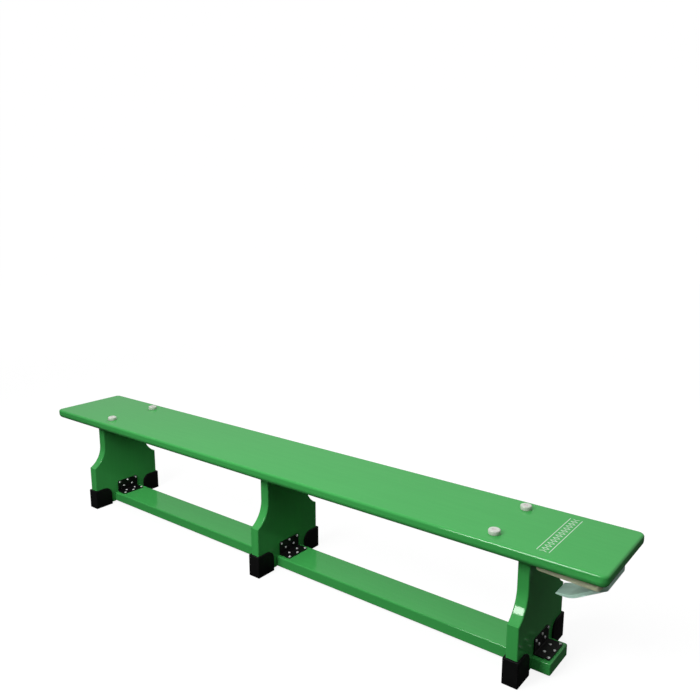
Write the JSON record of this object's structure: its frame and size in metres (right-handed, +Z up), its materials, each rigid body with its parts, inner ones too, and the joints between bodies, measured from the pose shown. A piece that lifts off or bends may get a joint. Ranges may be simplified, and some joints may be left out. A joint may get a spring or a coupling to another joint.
{
  "type": "balance bench",
  "caption": "Low wooden balance bench: walking plank on shaped legs with a narrow balance rail, rubber feet, steel angle brackets, top studs and an end hook.",
  "frame": {"origin": "on the floor under the middle of the centre leg", "axes": "+X along the bench towards the hook end, +Y across the bench, +Z up"},
  "size_m": [1.83, 0.245, 0.312],
  "materials": {
    "green_lacquer": "gloss green lacquer over smooth close-grained wood",
    "black_rubber": "matt moulded black rubber",
    "black_steel": "black powder coat on pressed steel",
    "zinc_screws": "bright zinc plate",
    "white_nylon": "milky natural nylon, slightly translucent",
    "cream_nylon": "satin cream nylon",
    "hook_nylon": "satin off-white nylon with a cool tint"
  },
  "bodies": {
    "root": {"balance_rail": "green_lacquer", "foot_screws": "zinc_screws", "hook": "hook_nylon", "hook_plate": "cream_nylon", "hook_plate_screws": "zinc_screws", "hook_screws": "zinc_screws", "leg_centre": "green_lacquer", "leg_left": "green_lacquer", "leg_right": "green_lacquer", "plank_bracket_centre_leg_left_side": "black_steel", "plank_bracket_centre_leg_right_side": "black_steel", "plank_bracket_left_leg_right_side": "black_steel", "plank_bracket_right_leg_left_side": "black_steel", "plank_bracket_screws_centre": "zinc_screws", "plank_bracket_screws_left": "zinc_screws", "plank_bracket_screws_right": "zinc_screws", "rail_bracket_centre_leg_left_side": "black_steel", "rail_bracket_centre_leg_right_side": "black_steel", "rail_bracket_left_leg_left_side": "black_steel", "rail_bracket_left_leg_right_side": "black_steel", "rail_bracket_right_leg_left_side": "black_steel", "rail_bracket_right_leg_right_side": "black_steel", "rail_bracket_screws_centre": "zinc_screws", "rail_bracket_screws_left": "zinc_screws", "rail_bracket_screws_right": "zinc_screws", "rubber_foot_centre_back": "black_rubber", "rubber_foot_centre_front": "black_rubber", "rubber_foot_left_back": "black_rubber", "rubber_foot_left_front": "black_rubber", "rubber_foot_right_back": "black_rubber", "rubber_foot_right_front": "black_rubber", "top_plank": "green_lacquer", "top_stud_left_back": "white_nylon", "top_stud_left_front": "white_nylon", "top_stud_plugs": "white_nylon", "top_stud_right_back": "white_nylon", "top_stud_right_front": "white_nylon", "top_stud_screws": "zinc_screws"}
  },
  "joints": []
}
